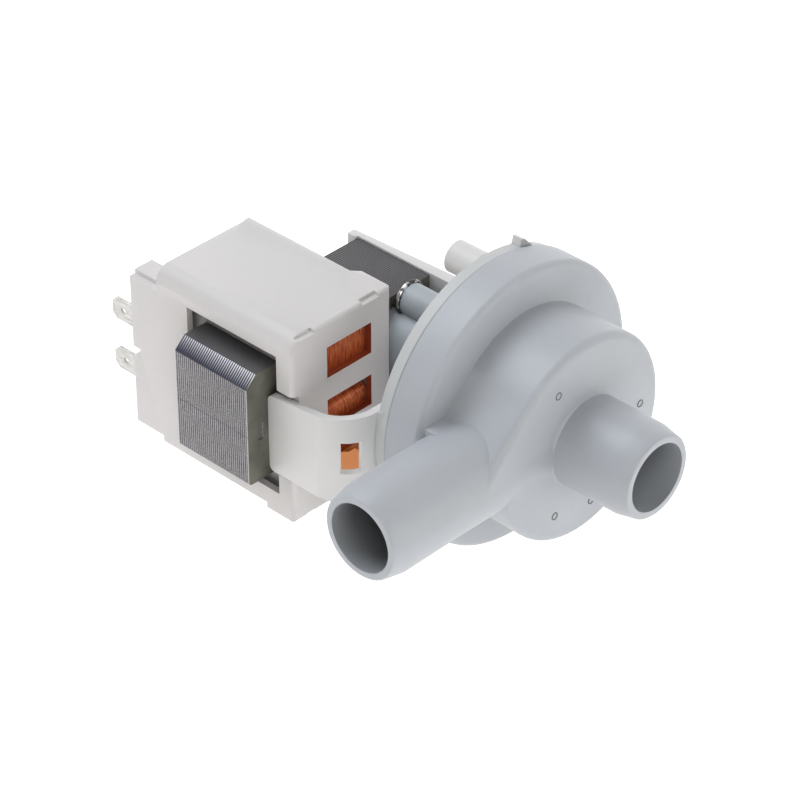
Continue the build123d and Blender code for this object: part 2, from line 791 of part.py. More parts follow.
# Blade terminals
def blade(tab_z):
    """Tab in the terminal block, with its tail in the coil box."""
    tip_x = block_back_x - tab_free_length
    tail_x = inside_back + fit_gap
    outline = Rectangle(tail_x - tip_x, tab_height, align=(Align.MIN, Align.CENTER))
    for corner_z in (tab_height / 2, -tab_height / 2):
        outline = chamfer(outline.vertices().sort_by_distance((0, corner_z))[0], tab_corner)
    outline += Pos(tail_x - tip_x + tab_tail_length / 4) * Rectangle(tab_tail_length / 2, tab_tail_height)
    outline -= Pos(tab_hole_inset, 0) * Circle(tab_hole_radius)
    place = Plane(
        origin=(tip_x, -tab_plane + tab_thickness / 2, tab_z), x_dir=(1, 0, 0), z_dir=(0, -1, 0))
    return extrude(place * outline, tab_thickness).solid()


upper_terminal = blade(upper_tab_z)
lower_terminal = blade(lower_tab_z)

# Coil leads
# The link between the two windings, and the two leads from the windings to the tabs.
first_lead_y = winding_start_y + fit_gap + wire_diameter / 2
last_lead_y = first_lead_y + (wire_loops - 1) * wire_pitch
first_lead_z = coil_z + 2 * crossover_half
last_lead_z = coil_z - crossover_half
lead_back_x = inside_back + lead_radius + loose_gap


def lead(points):
    """Insulated wire along the points."""
    return swept(points, lead_corner, lead_radius, lead_sides)[2]


tail_end_x = inside_back + fit_gap + tab_tail_length / 2
link_lead = lead([
    (lead_end_x, last_lead_y, last_lead_z),
    (lead_back_x, last_lead_y, last_lead_z),
    (lead_back_x, last_lead_y, -last_lead_z),
    (lead_end_x, last_lead_y, -last_lead_z),
])
tab_leads = [
    lead([
        (lead_end_x, first_lead_y, side * first_lead_z),
        (lead_back_x, first_lead_y, side * first_lead_z),
        (lead_back_x, first_lead_y, tab_z + side * (tab_tail_height / 2 + lead_radius)),
    ])
    for side, tab_z in ((1, upper_tab_z), (-1, lower_tab_z))
]
coil_leads = Compound(children=[link_lead, *tab_leads])

# Front bearing plate and bushes
# The plate is pressed into the mouth of the can. The rear bush sits in a rubber cup in the nose.
bush_front_x = plateau_x - joint_gap
bush_back_x = bush_front_x - bush_length
plate_radius = bearing_seat_radius - fit_gap
bearing_hub_radius = bush_radius + bearing_hub_wall
bearing_plate = turned(
    (bush_front_x, bush_radius + fit_gap),
    (bush_front_x, bearing_hub_radius),
    (bearing_seat_x + bearing_plate_thickness, bearing_hub_radius),
    (bearing_seat_x + bearing_plate_thickness, plate_radius),
    (bearing_seat_x, plate_radius),
    (bearing_seat_x, bearing_hub_radius),
    (bush_back_x + washer_thickness, bearing_hub_radius),
    (bush_back_x + washer_thickness, bush_radius + fit_gap))
for angle in flow_hole_places:
    bearing_plate -= rod(
        flow_hole_radius, bearing_seat_x - overrun, plateau_x,
        flow_hole_circle * cos(radians(angle)), flow_hole_circle * sin(radians(angle)))
bearing_plate = bearing_plate.solid()
shaft_hole_radius = shaft_radius + running_gap
front_bush = rod(bush_radius, bush_front_x, bush_back_x)
front_bush -= rod(shaft_hole_radius, bush_front_x, bush_back_x)
front_bush = front_bush.solid()

nose_bore = nose_radius - nose_wall
rear_bush_front_x = can_end_x + can_end_wall
rear_bush_back_x = rear_bush_front_x - rear_bush_length
rear_bush = rod(rear_bush_radius, rear_bush_front_x, rear_bush_back_x)
rear_bush -= rod(shaft_hole_radius, rear_bush_front_x, rear_bush_back_x)
rear_bush = rear_bush.solid()
cup_back_x = nose_end_x + can_end_wall
rear_bush_mount = rod(nose_bore - fit_gap, rear_bush_front_x, cup_back_x)
rear_bush_mount -= rod(rear_bush_radius + fit_gap, rear_bush_front_x, rear_bush_back_x - loose_gap)
rear_bush_mount -= rod(
    shaft_radius + loose_gap, rear_bush_front_x, cup_back_x + end_play)
rear_bush_mount = rear_bush_mount.solid()

# Rotor
# Ceramic magnet on a moulded sleeve, on a ground shaft that runs in the two bushes.
impeller_back_x = plateau_x + impeller_gap / 2
impeller_front_x = impeller_back_x + impeller_height
shaft_front_x = impeller_front_x + clip_thickness + 2 * end_play + shaft_tip
shaft_back_x = rear_bush_back_x + shaft_tip
magnet_back_x = coil_x - magnet_length / 2
magnet_front_x = coil_x + magnet_length / 2
magnet_seat = sleeve_radius + fit_gap
rear_washer_x = rear_bush_front_x + end_play
front_washer_x = bush_back_x - end_play
rotor_shaft = rod(shaft_radius, shaft_back_x, shaft_front_x)
rotor_shaft = chamfer(rotor_shaft.edges().filter_by(GeomType.CIRCLE), shaft_tip / 2).solid()
rotor_magnet = turned(
    (magnet_back_x, magnet_seat),
    (magnet_back_x, magnet_radius - shaft_tip),
    (magnet_back_x + shaft_tip, magnet_radius),
    (magnet_front_x - shaft_tip, magnet_radius),
    (magnet_front_x, magnet_radius - shaft_tip),
    (magnet_front_x, magnet_seat)).solid()
rotor_magnet = (rotor_magnet - rod(magnet_seat, magnet_back_x, magnet_front_x)).solid()
rotor_sleeve = rod(sleeve_radius, rear_washer_x + washer_thickness, front_washer_x - washer_thickness)
rotor_sleeve -= rod(
    shaft_radius + fit_gap, rear_washer_x + washer_thickness, front_washer_x - washer_thickness)
rotor_sleeve = rotor_sleeve.solid()


def washer(x_from, x_to):
    """Thrust washer on the shaft."""
    ring = rod(washer_radius, x_from, x_to)
    return (ring - rod(shaft_radius + fit_gap, x_from, x_to)).solid()


front_thrust_washer = washer(front_washer_x - washer_thickness, front_washer_x)
rear_thrust_washer = washer(rear_washer_x, rear_washer_x + washer_thickness)

# Impeller with its lost-motion drive
# The dog is fixed on the shaft and turns inside the hub until its tooth meets the lug there.
hub_bore = hub_radius - hub_wall
dog_back_x = impeller_back_x + dog_gap
dog_front_x = impeller_front_x - hub_cap - dog_gap
coupling_dog = rod(dog_collar_radius, dog_back_x, dog_front_x)
coupling_dog += sector(
    dog_collar_radius - dog_gap, hub_bore - dog_gap, dog_place, dog_half_angle,
    dog_back_x, dog_front_x)
coupling_dog -= rod(shaft_radius + fit_gap, dog_back_x, dog_front_x)
coupling_dog = coupling_dog.solid()

blade_outline = make_face(Polyline(
    (impeller_back_x, hub_bore + dog_gap),
    (impeller_back_x, impeller_radius),
    (impeller_front_x - blade_tip_drop, impeller_radius),
    (impeller_front_x, blade_shoulder),
    (impeller_front_x, hub_bore + dog_gap),
    close=True))
blade_outline = rounded(blade_outline, (impeller_front_x - blade_tip_drop, impeller_radius), shaft_radius)
impeller = rod(hub_radius, impeller_back_x, impeller_front_x)
impeller += rod(back_disc_radius, impeller_back_x, impeller_back_x + back_disc_thickness)
for number in range(blade_count):
    impeller_blade = extrude(Plane.XZ.offset(-blade_thickness / 2) * blade_outline, blade_thickness)
    impeller += Rot(number * 360 / blade_count, 0, 0) * impeller_blade
impeller -= rod(hub_bore, impeller_back_x - overrun, impeller_front_x - hub_cap)
impeller += sector(
    dog_collar_radius + dog_gap, hub_bore + hub_wall / 2, hub_lug_place, dog_half_angle,
    dog_back_x, impeller_front_x - hub_cap + dog_gap)
impeller -= rod(shaft_hole_radius, impeller_back_x, impeller_front_x + overrun)
impeller = impeller.solid()
clip_x = impeller_front_x + end_play
impeller_clip = rod(clip_radius, clip_x, clip_x + clip_thickness)
impeller_clip -= rod(shaft_radius + fit_gap, clip_x, clip_x + clip_thickness)
impeller_clip = impeller_clip.solid()

# Files
pieces = {
    "volute_housing": volute_housing,
    "housing_seal": housing_seal,
    "rotor_can": rotor_can,
    "post_collars": post_collars,
    "motor_carrier": motor_carrier,
    "stator_core": stator_core,
    "coil_cover": coil_cover,
    "upper_bobbin": upper_bobbin,
    "lower_bobbin": lower_bobbin,
    "upper_winding": upper_winding,
    "lower_winding": lower_winding,
    "upper_winding_turns": upper_winding_turns,
    "lower_winding_turns": lower_winding_turns,
    "insulating_tape": insulating_tape,
    "thermal_protector": thermal_protector,
    "upper_terminal": upper_terminal,
    "lower_terminal": lower_terminal,
    "coil_leads": coil_leads,
    "bearing_plate": bearing_plate,
    "front_bush": front_bush,
    "rear_bush": rear_bush,
    "rear_bush_mount": rear_bush_mount,
    "rotor_shaft": rotor_shaft,
    "rotor_magnet": rotor_magnet,
    "rotor_sleeve": rotor_sleeve,
    "front_thrust_washer": front_thrust_washer,
    "rear_thrust_washer": rear_thrust_washer,
    "coupling_dog": coupling_dog,
    "impeller": impeller,
    "impeller_clip": impeller_clip,
}
for name, piece in pieces.items():
    export_step(piece, f"parts/{name}.step")
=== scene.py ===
import json
from math import atan2, cos, degrees, hypot, pi, radians, sin, sqrt

import bmesh
import bpy
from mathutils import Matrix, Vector

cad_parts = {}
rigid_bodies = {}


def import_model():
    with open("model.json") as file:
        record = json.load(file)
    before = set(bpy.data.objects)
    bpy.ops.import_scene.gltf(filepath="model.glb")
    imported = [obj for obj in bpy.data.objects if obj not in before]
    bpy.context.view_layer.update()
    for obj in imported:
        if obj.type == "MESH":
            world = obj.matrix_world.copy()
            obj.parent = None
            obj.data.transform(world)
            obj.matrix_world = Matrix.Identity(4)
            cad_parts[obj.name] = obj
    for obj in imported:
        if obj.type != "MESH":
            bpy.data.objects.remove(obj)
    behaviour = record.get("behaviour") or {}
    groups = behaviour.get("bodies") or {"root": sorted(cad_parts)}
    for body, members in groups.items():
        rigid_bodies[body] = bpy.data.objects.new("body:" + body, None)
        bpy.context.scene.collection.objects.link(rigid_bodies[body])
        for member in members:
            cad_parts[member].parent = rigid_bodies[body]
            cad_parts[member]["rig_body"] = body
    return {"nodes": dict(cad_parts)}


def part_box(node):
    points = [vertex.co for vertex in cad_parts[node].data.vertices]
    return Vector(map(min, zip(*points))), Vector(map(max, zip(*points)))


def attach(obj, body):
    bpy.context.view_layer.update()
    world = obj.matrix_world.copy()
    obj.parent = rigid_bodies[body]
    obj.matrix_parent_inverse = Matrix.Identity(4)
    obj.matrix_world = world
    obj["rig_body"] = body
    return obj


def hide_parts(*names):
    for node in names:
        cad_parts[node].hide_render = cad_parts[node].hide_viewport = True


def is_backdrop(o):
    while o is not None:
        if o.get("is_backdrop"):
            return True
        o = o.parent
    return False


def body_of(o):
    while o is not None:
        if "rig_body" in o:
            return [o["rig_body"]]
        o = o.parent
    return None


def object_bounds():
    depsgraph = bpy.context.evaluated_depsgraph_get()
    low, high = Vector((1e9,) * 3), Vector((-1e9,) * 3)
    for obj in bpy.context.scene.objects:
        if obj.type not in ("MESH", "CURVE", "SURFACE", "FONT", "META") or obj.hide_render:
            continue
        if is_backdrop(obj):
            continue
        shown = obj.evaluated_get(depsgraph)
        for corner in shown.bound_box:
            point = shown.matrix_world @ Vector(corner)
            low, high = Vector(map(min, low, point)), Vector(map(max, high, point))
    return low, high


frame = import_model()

cad_low, cad_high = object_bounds()

# Volute housing
# Light grey moulding in one piece: inlet spigot, impeller drum, round skirt and outlet spigot.
# Semi-gloss, with painted shade deep inside its bores, darkest at their tops, and the round marks
# of the ejector pins on its front disc.
same_point = 0.000002
same_point_after_change = 0.00001
flat_angle = radians(0.6)
sharp_angle = radians(38.0)


def in_scene(name, data):
    """New object at the origin with this data."""
    item = bpy.data.objects.new(name, data)
    bpy.context.collection.objects.link(item)
    return item


def make_plain(piece):
    """The piece's own mesh becomes what its modifiers make of it, and they are taken off."""
    evaluated = piece.evaluated_get(bpy.context.evaluated_depsgraph_get())
    finished = bpy.data.meshes.new_from_object(evaluated)
    piece.modifiers.clear()
    piece.data = finished


def moulded(node, material, edge=0.0, change=None):
    """Copy of a CAD piece with clean flats and rounded edges, which stands for that piece."""
    source = frame["nodes"][node]
    shape = bmesh.new()
    shape.from_mesh(source.data)
    shape.transform(source.matrix_world)
    bmesh.ops.remove_doubles(shape, verts=shape.verts, dist=same_point)
    bmesh.ops.dissolve_limit(
        shape, angle_limit=flat_angle, verts=shape.verts, edges=shape.edges, delimit=set())
    if change:
        change(shape)
        bmesh.ops.remove_doubles(shape, verts=shape.verts, dist=same_point_after_change)
    mesh = bpy.data.meshes.new(node + "_moulded")
    shape.to_mesh(mesh)
    shape.free()
    piece = in_scene(node + "_moulded", mesh)
    if edge > 0:
        bevel = piece.modifiers.new("rounded edges", "BEVEL")
        bevel.width = edge
        bevel.segments = 2
        bevel.limit_method = "ANGLE"
        bevel.angle_limit = sharp_angle
        bevel.loop_slide = False
        weights = piece.modifiers.new("even shading", "WEIGHTED_NORMAL")
        weights.keep_sharp = True
        make_plain(piece)
    piece.data.shade_smooth()
    piece.data.set_sharp_from_angle(angle=sharp_angle)
    piece.data.materials.append(material)
    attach(piece, body_of(source)[0])
    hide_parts(node)
    return piece


def add(tree, kind, inputs=None, **settings):
    """New node with its settings and with each named input as a value or a link."""
    node = tree.nodes.new(kind)
    for name, value in settings.items():
        setattr(node, name, value)
    for name, value in (inputs or {}).items():
        if isinstance(value, bpy.types.NodeSocket):
            tree.links.new(value, node.inputs[name])
        else:
            node.inputs[name].default_value = value
    return node


def calc(tree, operation, *values):
    """Output of one math node."""
    return add(tree, "ShaderNodeMath", dict(enumerate(values)), operation=operation).outputs[0]


def product(tree, first, *others):
    """The first value times all the others."""
    for other in others:
        first = calc(tree, "MULTIPLY", first, other)
    return first


def shared(tree, first, share, second):
    """This share of the first value, and the rest of the second."""
    return calc(tree, "MULTIPLY_ADD", first, share, calc(tree, "MULTIPLY", second, 1.0 - share))


def above(tree, value, limit):
    """1 where the value is above the limit, otherwise 0."""
    return calc(tree, "GREATER_THAN", value, limit)


def below(tree, value, limit):
    """1 where the value is below the limit, otherwise 0."""
    return calc(tree, "LESS_THAN", value, limit)


def distance(tree, value, target):
    """How far the value is from its target."""
    return calc(tree, "ABSOLUTE", calc(tree, "SUBTRACT", value, target))


def radius(tree, first, second):
    """Distance from an axis, from the places along two directions across it."""
    squares = calc(tree, "MULTIPLY_ADD", first, first, calc(tree, "MULTIPLY", second, second))
    return calc(tree, "SQRT", squares)


def spread(tree, value, low, high, start=0.0, end=1.0):
    """Runs from low to high while the value runs from start to end."""
    return add(tree, "ShaderNodeMapRange", {
        "Value": value, "From Min": start, "From Max": end, "To Min": low, "To Max": high,
    }).outputs["Result"]


def mixed(tree, factor, first, second):
    """First colour where the factor is 0, second where it is 1."""
    return add(
        tree, "ShaderNodeMix", {0: factor, 6: first, 7: second}, data_type="RGBA").outputs[2]


def place_on(tree):
    """Place on the piece, in its own coordinates."""
    return add(tree, "ShaderNodeTexCoord").outputs["Object"]


def axes(tree, vector):
    """The vector's three parts."""
    parts = add(tree, "ShaderNodeSeparateXYZ", {"Vector": vector}).outputs
    return parts["X"], parts["Y"], parts["Z"]


def noise(tree, place, scale, detail=2.0, stretch=None):
    """Output of one noise texture, finer along the axes with the larger stretch."""
    if stretch:
        place = add(tree, "ShaderNodeMapping", {"Vector": place, "Scale": stretch}).outputs["Vector"]
    return add(
        tree, "ShaderNodeTexNoise", {"Vector": place, "Scale": scale, "Detail": detail}).outputs["Fac"]


def bump(tree, height, depth, strength):
    """Normal of a surface with the height's relief."""
    return add(
        tree, "ShaderNodeBump",
        {"Height": height, "Distance": depth, "Strength": strength}).outputs["Normal"]


def new_group(name, kind, inputs, outputs):
    """New node group with named sockets: returns it and what its inputs give."""
    group = bpy.data.node_groups.new(name, kind)
    for direction, sockets in (("INPUT", inputs), ("OUTPUT", outputs)):
        for socket_name, socket_kind in sockets.items():
            group.interface.new_socket(
                socket_name, in_out=direction, socket_type="NodeSocket" + socket_kind)
    return group, add(group, "NodeGroupInput").outputs


def surface_group():
    """Surface of moulded plastic: colour drift, fine mottle, grain and dull patches."""
    group, given = new_group(
        "moulded surface", "ShaderNodeTree",
        {
            "Colour": "Color",
            "Shade": "Color",
            "Drift": "Float",
            "Grain size": "Float",
            "Roughness": "Float",
        },
        {"Colour": "Color", "Roughness": "Float", "Height": "Float"})
    place = place_on(group)
    cloud = noise(group, place, scale=45.0, detail=4.0)
    mottle = noise(group, place, scale=420.0, detail=3.0)
    grain = noise(group, place, scale=given["Grain size"])
    patches = shared(group, mottle, 0.45, cloud)
    drifted = product(group, patches, given["Drift"])
    add(group, "NodeGroupOutput", {
        "Colour": mixed(group, drifted, given["Colour"], given["Shade"]),
        "Roughness": calc(group, "MULTIPLY_ADD", patches, 0.12, given["Roughness"]),
        "Height": calc(group, "MULTIPLY_ADD", grain, 0.4, patches),
    })
    return group


moulded_surface = surface_group()


def new_material(name):
    """Material with its own node tree: returns it, the tree and the shader's inputs."""
    material = bpy.data.materials.new(name)
    material.use_nodes = True
    tree = material.node_tree
    return material, tree, tree.nodes["Principled BSDF"].inputs


def plastic(name, colour, shade, roughness, grain=2500.0, marks_and_painted_shade=None):
    """Moulded plastic in a colour drifting a little towards its shade, with any marks and painted
    shade.
    """
    material, tree, shader = new_material(name)
    surface = add(tree, "ShaderNodeGroup", {
        "Colour": (*colour, 1.0),
        "Shade": (*shade, 1.0),
        "Drift": 0.8,
        "Grain size": grain,
        "Roughness": roughness,
    }, node_tree=moulded_surface).outputs
    seen_colour = marks_and_painted_shade(tree, surface["Colour"]) if marks_and_painted_shade else surface["Colour"]
    relief = bump(tree, surface["Height"], depth=0.00003, strength=0.25)
    tree.links.new(seen_colour, shader["Base Color"])
    tree.links.new(surface["Roughness"], shader["Roughness"])
    tree.links.new(relief, shader["Normal"])
    return material


housing_low, housing_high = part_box("volute_housing")
outlet_x = -0.0342
# Painted shade in the two bores: darker deeper in and towards the top.
bore_shade_radius = 0.0091
bore_shade_reach = 0.055
bore_shade_inside = 0.80
bore_shade_on_top = 1.25
bore_shade_colour = (0.10, 0.105, 0.11, 1.0)


def bore_shade_strength(tree, across, up, along, mouth, inward, at_mouth, at_bottom):
    """Strength of the painted shade on one bore's wall, which grows inwards and upwards."""
    return product(
        tree,
        spread(tree, along, at_mouth, bore_shade_inside, start=mouth, end=mouth + inward),
        spread(tree, up, at_bottom, bore_shade_on_top, start=-bore_shade_radius, end=bore_shade_radius),
        below(tree, distance(tree, along, mouth), bore_shade_reach),
        below(tree, radius(tree, across, up), bore_shade_radius))


def painted_bore_shade(tree, colour):
    """The colour, darkened in the two bores as painted shade, most so deep inside and at the top."""
    x, y, z = axes(tree, place_on(tree))
    outlet_shade = bore_shade_strength(
        tree, calc(tree, "SUBTRACT", x, outlet_x), z, along=y, mouth=housing_low[1],
        inward=0.007, at_mouth=0.30, at_bottom=0.75)
    inlet_shade = bore_shade_strength(
        tree, y, z, along=x, mouth=housing_high[0], inward=-0.014, at_mouth=0.25, at_bottom=0.1)
    for wall in (outlet_shade, inlet_shade):
        colour = mixed(tree, wall, colour, bore_shade_colour)
    return colour


housing_grey = plastic(
    "housing_grey", (0.503, 0.533, 0.573), (0.43, 0.458, 0.498), roughness=0.36,
    marks_and_painted_shade=painted_bore_shade)
moulded("volute_housing", housing_grey, edge=0.00035)


def hand_out(tree, geometry, material):
    """End of a geometry tree: real meshes in the material."""
    real = add(tree, "GeometryNodeRealizeInstances", {"Geometry": geometry})
    coloured = add(tree, "GeometryNodeSetMaterial", {
        "Geometry": real.outputs["Geometry"], "Material": material})
    add(tree, "NodeGroupOutput", {"Geometry": coloured.outputs["Geometry"]})


def ring_tree():
    """Rings of round section, square to the pump axis, one at each point of a mesh."""
    tree, given = new_group(
        "thin rings", "GeometryNodeTree",
        {
            "Geometry": "Geometry",
            "Ring radius": "Float",
            "Ring sides": "Int",
            "Lip": "Float",
            "Lip sides": "Int",
            "Material": "Material",
        },
        {"Geometry": "Geometry"})
    ring = add(tree, "GeometryNodeCurvePrimitiveCircle", {
        "Resolution": given["Ring sides"], "Radius": given["Ring radius"]})
    lip = add(tree, "GeometryNodeCurvePrimitiveCircle", {
        "Resolution": given["Lip sides"], "Radius": given["Lip"]})
    solid = add(tree, "GeometryNodeCurveToMesh", {
        "Curve": ring.outputs["Curve"], "Profile Curve": lip.outputs["Curve"]})
    turned = add(tree, "GeometryNodeTransform", {
        "Geometry": solid.outputs["Mesh"], "Rotation": (0.0, pi / 2, 0.0)})
    copies = add(tree, "GeometryNodeInstanceOnPoints", {
        "Points": given["Geometry"], "Instance": turned.outputs["Geometry"]})
    hand_out(tree, copies.outputs["Instances"], given["Material"])
    return tree


def grown(name, points, tree, values):
    """Fixed piece that a geometry tree makes from loose points, turned into a plain mesh."""
    mesh = bpy.data.meshes.new(name)
    mesh.from_pydata(points, [], [])
    piece = in_scene(name, mesh)
    grower = piece.modifiers.new("made by rule", "NODES")
    grower.node_group = tree
    for item in tree.interface.items_tree:
        if item.in_out == "INPUT" and item.name in values:
            grower[item.identifier] = values[item.name]
    make_plain(piece)
    piece.data.shade_smooth()
    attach(piece, "pump_body")
    return piece


disc_x = -0.0225
mark_circle = 0.0203
mark_places = [
    (disc_x, mark_circle * cos(radians(angle)), mark_circle * sin(radians(angle)))
    for angle in (120, 0, -120, -81)
]
mark_grey = plastic("mark_grey", (0.19, 0.205, 0.22), (0.14, 0.15, 0.16), roughness=0.45)
thin_rings = ring_tree()
ring_fineness = {"Ring sides": 56, "Lip sides": 12}
grown(
    "ejector_marks", mark_places, thin_rings,
    {"Ring radius": 0.0009, "Lip": 0.00018, "Material": mark_grey, **ring_fineness})

# Rotor can
# Thin grey tube with the flange and the two posts for the core, injection moulded.
can_grey = plastic("can_grey", (0.43, 0.475, 0.51), (0.33, 0.38, 0.42), roughness=0.40)
moulded("rotor_can", can_grey, edge=0.0002)

# Post collars
# Bright rings of plated steel on the tips of the two posts, pressed against the core. Their colour
# swings by noise between near black and bright, as painted reflections of the surroundings.
post_z = 0.01405


def ramp(tree, factor, low_place, low_colour, high_place, high_colour):
    """Colour that runs from one place of the factor to the other."""
    node = add(tree, "ShaderNodeValToRGB", {"Fac": factor})
    low, high = node.color_ramp.elements
    low.position, low.color = low_place, (*low_colour, 1.0)
    high.position, high.color = high_place, (*high_colour, 1.0)
    return node.outputs["Color"]


def metal_wear_and_reflections(name, metallic, streaks, colours, roughness, coat=0.0, coat_roughness=0.03):
    """Metal whose colour and roughness both follow one noise, under a clear coat if any."""
    material, tree, shader = new_material(name)
    shader["Metallic"].default_value = metallic
    shader["Coat Weight"].default_value = coat
    shader["Coat Roughness"].default_value = coat_roughness
    wear = noise(tree, place_on(tree), **streaks)
    tree.links.new(ramp(tree, wear, *colours), shader["Base Color"])
    tree.links.new(spread(tree, wear, *roughness), shader["Roughness"])
    return material


# Near black and bright patches of base colour: painted reflections of dark and bright surroundings.
collar_steel = metal_wear_and_reflections(
    "collar_steel", metallic=1.0, streaks={"scale": 420.0},
    colours=(0.42, (0.06, 0.06, 0.07), 0.56, (0.85, 0.85, 0.84)), roughness=(0.05, 0.12))
collar_low, collar_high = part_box("post_collars")
collar_x = (collar_low[0] + collar_high[0]) / 2
collars = grown(
    "post_collars_round", [(collar_x, 0.0, post_z), (collar_x, 0.0, -post_z)], thin_rings,
    {"Ring radius": 0.00415, "Lip": 0.0007, "Material": collar_steel, **ring_fineness})
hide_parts("post_collars")

# Motor carrier
# Pale moulding behind the joint line, with the bent guard arm, the side arms and the posts. Its
# rim is greyer, a dark line of painted shade runs along the joint, and the edges of the arm's
# window are painted paler, as painted light on their shaded faces.
joint_x = -0.0528
joint_width = 0.0005
# Painted shade: a dark line along the joint to the housing, fading within the joint's width.
joint_shade_strength = 0.5
joint_shade_colour = (0.10, 0.11, 0.12, 1.0)
rim_back_x = -0.0563
rim_inside = 0.0366
rim_outside = 0.0379
rim_grey = (0.595, 0.612, 0.618, 1.0)
rim_radius = 0.0373
arm_front_x = -0.0558
arm_root_y = -0.0340
arm_root_z = 0.0145
bend_x = -0.0665
bend_y = -0.03665
bend_inside = 0.0087
bend_outside = 0.0105
arm_window_angles = (-58, -20)
arm_window_z = (-0.0060, 0.0038)


def rim_and_joint(tree, colour):
    """The colour, greyer on the rim, with painted shade along the joint to the housing."""
    x, y, z = axes(tree, place_on(tree))
    from_axis = radius(tree, y, z)
    on_rim = product(
        tree, above(tree, x, rim_back_x), above(tree, from_axis, rim_inside),
        below(tree, from_axis, rim_outside))
    joint_shade = spread(tree, distance(tree, x, joint_x), joint_shade_strength, 0.0, end=joint_width)
    return mixed(tree, joint_shade, mixed(tree, on_rim, colour, rim_grey), joint_shade_colour)


def flush_root(shape):
    """Draw the corners of the guard arm's root back to the round rim."""
    for corner in shape.verts:
        x, y, z = corner.co
        at_root = x > arm_front_x and y < arm_root_y and abs(z) < arm_root_z
        if at_root and hypot(y, z) > rim_radius:
            corner.co.y = -sqrt(rim_radius ** 2 - z ** 2)


carrier_white = plastic(
    "carrier_white", (0.765, 0.76, 0.76), (0.695, 0.69, 0.685), roughness=0.40,
    marks_and_painted_shade=rim_and_joint)
# Paler plastic on the edges of the arm's window: painted light on faces that lie in shade.
window_edge_painted_light = plastic(
    "window_edge_painted_light", (0.93, 0.92, 0.91), (0.88, 0.87, 0.86), roughness=0.40)
carrier = moulded("motor_carrier", carrier_white, edge=0.0003, change=flush_root)
carrier.data.materials.append(window_edge_painted_light)
for face in carrier.data.polygons:
    x, y, z = face.center
    in_wall = bend_inside < hypot(x - bend_x, y - bend_y) < bend_outside
    angle = degrees(atan2(y - bend_y, x - bend_x))
    beside_window = (
        arm_window_angles[0] < angle < arm_window_angles[1] and arm_window_z[0] < z < arm_window_z[1])
    if in_wall and beside_window:
        face.material_index = 1

# Stator core
# Stack of thin steel sheets held by interlocks and a weld. The cut edges show as fine lines, and
# the end sheets have a dark oxide. The slanted edges carry a painted highlight on each sheet, which
# grows towards their top and front; the outer face has a painted highlight along its front edge
# and painted shade along its top edge.
core_low, core_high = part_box("stator_core")
slant_low_z = 0.0127
slant_high_z = 0.0157
edge_highlight_width = 0.0005
edge_shade_width = 0.0003
strip_back_y = -0.044
weld_z = -0.0013
weld_width = 0.00016
weld_strength = 0.5
# A face is told by how far its normal leans towards an axis, or towards two.
end_lean = 0.8
outer_lean = 0.92
strip_lean = 0.9
slant_lean = 0.3

core_steel, core_tree, core_shader = new_material("core_steel")
core_shader["Metallic"].default_value = 0.5
core_place = place_on(core_tree)
core_x, core_y, core_z = axes(core_tree, core_place)
core_normal = add(core_tree, "ShaderNodeNewGeometry").outputs["Normal"]
facing_x, facing_y, facing_z = [
    calc(core_tree, "ABSOLUTE", part) for part in axes(core_tree, core_normal)]
end_face = above(core_tree, facing_x, end_lean)
outer_face = above(core_tree, facing_y, outer_lean)
slanted_face = above(core_tree, product(core_tree, facing_y, facing_z), slant_lean)
plain_strip = product(
    core_tree, below(core_tree, core_y, strip_back_y), above(core_tree, facing_z, strip_lean))
# Painted highlight along the front edge of the outer face, and painted shade along its top edge.
painted_edge_highlight = product(
    core_tree, outer_face, above(core_tree, core_x, core_high[0] - edge_highlight_width))
painted_edge_shade = product(
    core_tree, outer_face, above(core_tree, core_z, slant_low_z - edge_shade_width))
weld = product(
    core_tree, below(core_tree, distance(core_tree, core_z, weld_z), weld_width), outer_face,
    weld_strength)

# The wave has one period for each sheet, 0.7 mm.
sheet_wave = add(
    core_tree, "ShaderNodeTexWave",
    {"Vector": core_place, "Scale": 449.0, "Distortion": 0.35, "Detail": 1.0, "Detail Scale": 0.4},
    bands_direction="X").outputs["Fac"]
sheet_streaks = noise(core_tree, core_place, scale=240.0, detail=3.0, stretch=(12.0, 1.0, 0.8))
sheet_specks = noise(core_tree, core_place, scale=2400.0)
worn = shared(core_tree, sheet_specks, 0.7, sheet_streaks)
oxide = noise(core_tree, core_place, scale=110.0, detail=5.0)
# Painted highlight on the slanted faces, brighter towards their top and front.
slant_painted_highlight = calc(
    core_tree, "ADD",
    spread(core_tree, core_z, 0.10, 0.92, start=slant_low_z, end=slant_high_z),
    spread(core_tree, core_x, 0.0, 0.22, start=core_low[0], end=core_high[0]))
top_colour = ramp(
    core_tree, shared(core_tree, sheet_wave, 0.5, worn),
    0.25, (0.022, 0.022, 0.026), 0.75, (0.125, 0.125, 0.140))
cut_colour = ramp(
    core_tree, shared(core_tree, sheet_wave, 0.32, worn),
    0.35, (0.040, 0.038, 0.047), 0.67, (0.36, 0.355, 0.365))
slant_colour = ramp(
    core_tree, product(core_tree, sheet_wave, slant_painted_highlight, spread(core_tree, worn, 0.8, 1.2)),
    0.20, (0.030, 0.032, 0.058), 0.95, (0.68, 0.69, 0.74))
oxide_colour = ramp(core_tree, oxide, 0.3, (0.085, 0.085, 0.068), 0.7, (0.185, 0.182, 0.150))

